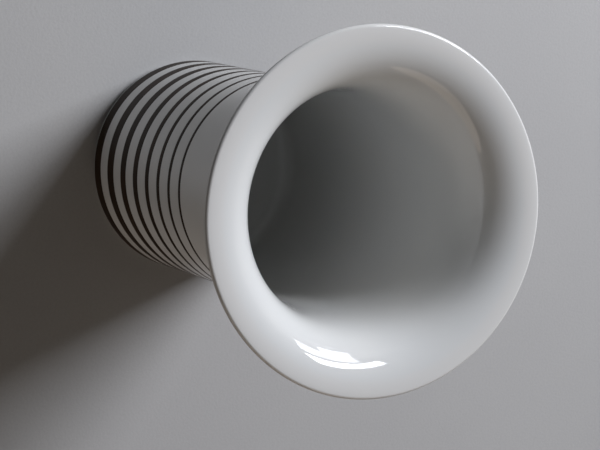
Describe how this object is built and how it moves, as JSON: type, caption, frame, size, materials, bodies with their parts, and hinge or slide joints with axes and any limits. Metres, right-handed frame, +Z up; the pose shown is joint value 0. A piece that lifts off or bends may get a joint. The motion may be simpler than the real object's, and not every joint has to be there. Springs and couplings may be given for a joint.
{
  "type": "vase",
  "caption": "Slim upright porcelain vase with a wide trumpet mouth and dark brown painted stripes that widen towards the foot, for holding cut flowers.",
  "frame": {"origin": "centre of the foot ring's underside, where the vase stands", "axes": "+Z up along the vase's axis, from the foot to the mouth; X and Y are alike, because the vase is round"},
  "size_m": [0.12, 0.12, 0.17],
  "materials": {
    "white_glaze": "clear glossy glaze over white porcelain",
    "bare_porcelain": "unglazed, ground flat",
    "brown_enamel": "dark brown fired enamel, satin, with faint brush streaks running round"
  },
  "bodies": {
    "root": {"vase_body": "white_glaze", "foot_ring": "bare_porcelain", "stripe_1": "brown_enamel", "stripe_2": "brown_enamel", "stripe_3": "brown_enamel", "stripe_4": "brown_enamel", "stripe_5": "brown_enamel", "stripe_6": "brown_enamel", "stripe_7": "brown_enamel", "stripe_8": "brown_enamel"}
  },
  "joints": []
}
